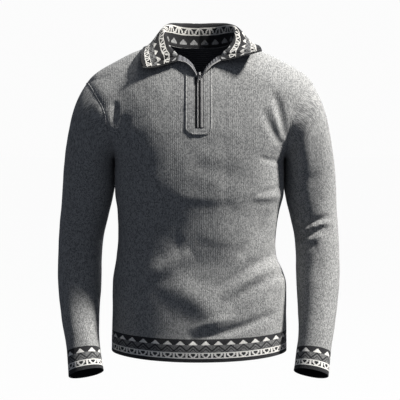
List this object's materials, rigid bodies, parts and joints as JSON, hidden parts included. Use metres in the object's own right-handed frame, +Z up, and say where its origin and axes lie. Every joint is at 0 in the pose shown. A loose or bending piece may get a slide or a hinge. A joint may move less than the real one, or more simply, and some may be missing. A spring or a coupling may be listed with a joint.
{
  "type": "quarter-zip sweater",
  "caption": "Worn knitted pullover with a turned-down patterned collar, a short half-open front zip, and a patterned band at hem and cuffs.",
  "frame": {"origin": "the middle of the neck, between the two points where the shoulder seams meet the collar", "axes": "+Z up, -Y to the front of the wearer, +X to the wearer's left"},
  "size_m": [0.6185, 0.2456, 0.7707],
  "materials": {
    "wool": "charcoal melange knit",
    "border": "two-colour patterned knit",
    "welt": "light knit",
    "tape": "woven tape and moulded teeth",
    "metal": "dark nickel"
  },
  "bodies": {
    "sweater": {"front_panel": "wool", "back_panel": "wool", "sleeve_left": "wool", "sleeve_right": "wool", "hem_band_front": "border", "hem_band_back": "border", "cuff_left": "border", "cuff_right": "border", "collar": "border", "placket": "wool", "zip_chain": "tape", "zip_welt_left": "welt", "zip_welt_right": "welt", "zip_tape_left": "tape", "zip_tape_right": "tape", "zip_slider": "metal"},
    "pull_tab": {"zip_pull": "metal"}
  },
  "joints": [
    {"name": "pull_tab_hinge", "type": "hinge", "parent": "sweater", "child": "pull_tab", "pos_m": [0, -0.08367, -0.0716], "axis": [-1, 0, 0], "range_deg": [0, 150]}
  ]
}
